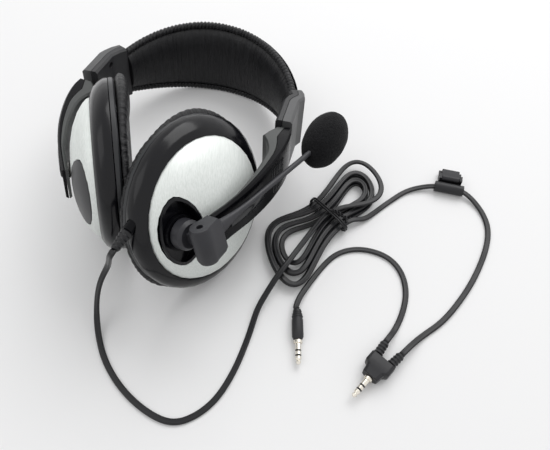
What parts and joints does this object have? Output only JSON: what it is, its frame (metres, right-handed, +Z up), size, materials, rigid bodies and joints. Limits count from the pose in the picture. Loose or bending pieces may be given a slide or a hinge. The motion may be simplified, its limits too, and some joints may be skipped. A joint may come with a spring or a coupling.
{
  "type": "stereo headset with boom microphone",
  "caption": "Closed stereo headset with a padded band, sliding arms, tilting ear cups, a swivelling boom microphone, and a flat cord with a tied hank, clothing clip and audio plugs.",
  "frame": {"origin": "centre of the headset's footprint on the table, without its free cord", "axes": "+Z up from the table it lies on; +Y away from the viewer of the picture, roughly towards the top of the band; +X to the picture's right"},
  "size_m": [0.2752, 0.2711, 0.1],
  "materials": {
    "gloss_plastic": "polished",
    "grey_plastic": "satin moulded",
    "black_plastic": "fine matte",
    "nylon": "plain",
    "leatherette": "soft satin leatherette",
    "spring_steel": "plain",
    "dark_grey_plastic": "satin moulded",
    "screw_steel": "polished",
    "cord_jacket": "satin",
    "silver_plate": "brushed",
    "plug_metal": "polished",
    "foam": "open foam"
  },
  "bodies": {
    "headband": {"band_spring": "spring_steel", "band_cover": "leatherette", "band_pad": "leatherette", "cap_left_outer": "grey_plastic", "cap_left_inner": "dark_grey_plastic", "cap_right_outer": "grey_plastic", "cap_right_inner": "dark_grey_plastic"},
    "arm_left": {"arm_left_outer": "black_plastic", "arm_left_inner": "grey_plastic", "arm_left_inlay": "gloss_plastic", "slider_left": "black_plastic", "ball_stud_left": "nylon"},
    "bush_left": {"ball_bush_left": "nylon"},
    "cup_left": {"shell_left": "gloss_plastic", "plate_left": "silver_plate", "seam_ring_left": "dark_grey_plastic", "baffle_left": "black_plastic", "driver_left": "spring_steel", "ear_pad_left": "leatherette", "ball_seat_left": "black_plastic", "leaf_blank": "dark_grey_plastic"},
    "arm_right": {"arm_right_outer": "black_plastic", "arm_right_inner": "grey_plastic", "arm_right_inlay": "gloss_plastic", "slider_right": "black_plastic", "ball_stud_right": "nylon"},
    "bush_right": {"ball_bush_right": "nylon"},
    "cup_right": {"shell_right": "gloss_plastic", "plate_right": "silver_plate", "seam_ring_right": "dark_grey_plastic", "baffle_right": "black_plastic", "driver_right": "spring_steel", "ear_pad_right": "leatherette", "ball_seat_right": "black_plastic", "clip_pin": "screw_steel", "clip_sleeve": "black_plastic", "cord_clip": "cord_jacket", "cord_cup": "cord_jacket", "cord_gland": "black_plastic", "cord_hank": "cord_jacket", "cord_link": "cord_jacket", "mic_disc": "black_plastic", "mic_tray": "gloss_plastic", "straight_plug": "cord_jacket", "straight_plug_pin": "plug_metal", "strain_relief": "cord_jacket", "twist_tie": "black_plastic", "y_plug": "cord_jacket", "y_plug_pin": "plug_metal", "y_relief_clip_side": "cord_jacket", "y_relief_link_side": "cord_jacket"},
    "mic_swivel": {"mic_drum": "black_plastic", "elbow_pin": "screw_steel"},
    "boom": {"boom_elbow": "black_plastic", "boom": "black_plastic", "mic_capsule": "dark_grey_plastic", "windscreen": "foam"},
    "clip_jaw": {"clip_jaw": "black_plastic"}
  },
  "joints": [
    {"name": "arm_left_slide", "type": "slide", "parent": "headband", "child": "arm_left", "axis": [-0.2162, -0.9517, 0.2181], "range_m": [-0.005, 0.001]},
    {"name": "arm_right_slide", "type": "slide", "parent": "headband", "child": "arm_right", "axis": [-0.2162, -0.9517, 0.2181], "range_m": [-0.001, 0.017]},
    {"name": "cup_left_swing", "type": "hinge", "parent": "arm_left", "child": "bush_left", "pos_m": [-0.06608, -0.03503, 0.05401], "axis": [-0.0868, -0.3861, -0.9184], "range_deg": [-1, 3]},
    {"name": "cup_left_tilt", "type": "hinge", "parent": "bush_left", "child": "cup_left", "pos_m": [-0.06608, -0.03503, 0.05401], "axis": [-0.2635, 0.8979, -0.3526], "range_deg": [-6, 4.5]},
    {"name": "cup_right_swing", "type": "hinge", "parent": "arm_right", "child": "bush_right", "pos_m": [0.01026, -0.065, 0.05466], "axis": [-0.081, 0.4846, 0.871], "range_deg": [-0.5, 4]},
    {"name": "cup_right_tilt", "type": "hinge", "parent": "bush_right", "child": "cup_right", "pos_m": [0.01026, -0.065, 0.05466], "axis": [0.6145, 0.7123, -0.3392], "range_deg": [-1, 12]},
    {"name": "boom_swivel", "type": "hinge", "parent": "cup_right", "child": "mic_swivel", "pos_m": [-0.01887, -0.07623, 0.0582], "axis": [0.7847, -0.5078, 0.3555], "range_deg": [-2, 150]},
    {"name": "boom_tilt", "type": "hinge", "parent": "mic_swivel", "child": "boom", "pos_m": [0.00813, -0.09369, 0.07043], "axis": [-0.1699, 0.3754, 0.9112], "range_deg": [-20, 1]},
    {"name": "clip_jaw_hinge", "type": "hinge", "parent": "cup_right", "child": "clip_jaw", "pos_m": [0.1639, -0.00651, 0.00649], "axis": [0.9681, -0.2504, 0], "range_deg": [0, 25], "stiffness_Nm_per_rad": 0.004, "springref_deg": -17.19}
  ]
}
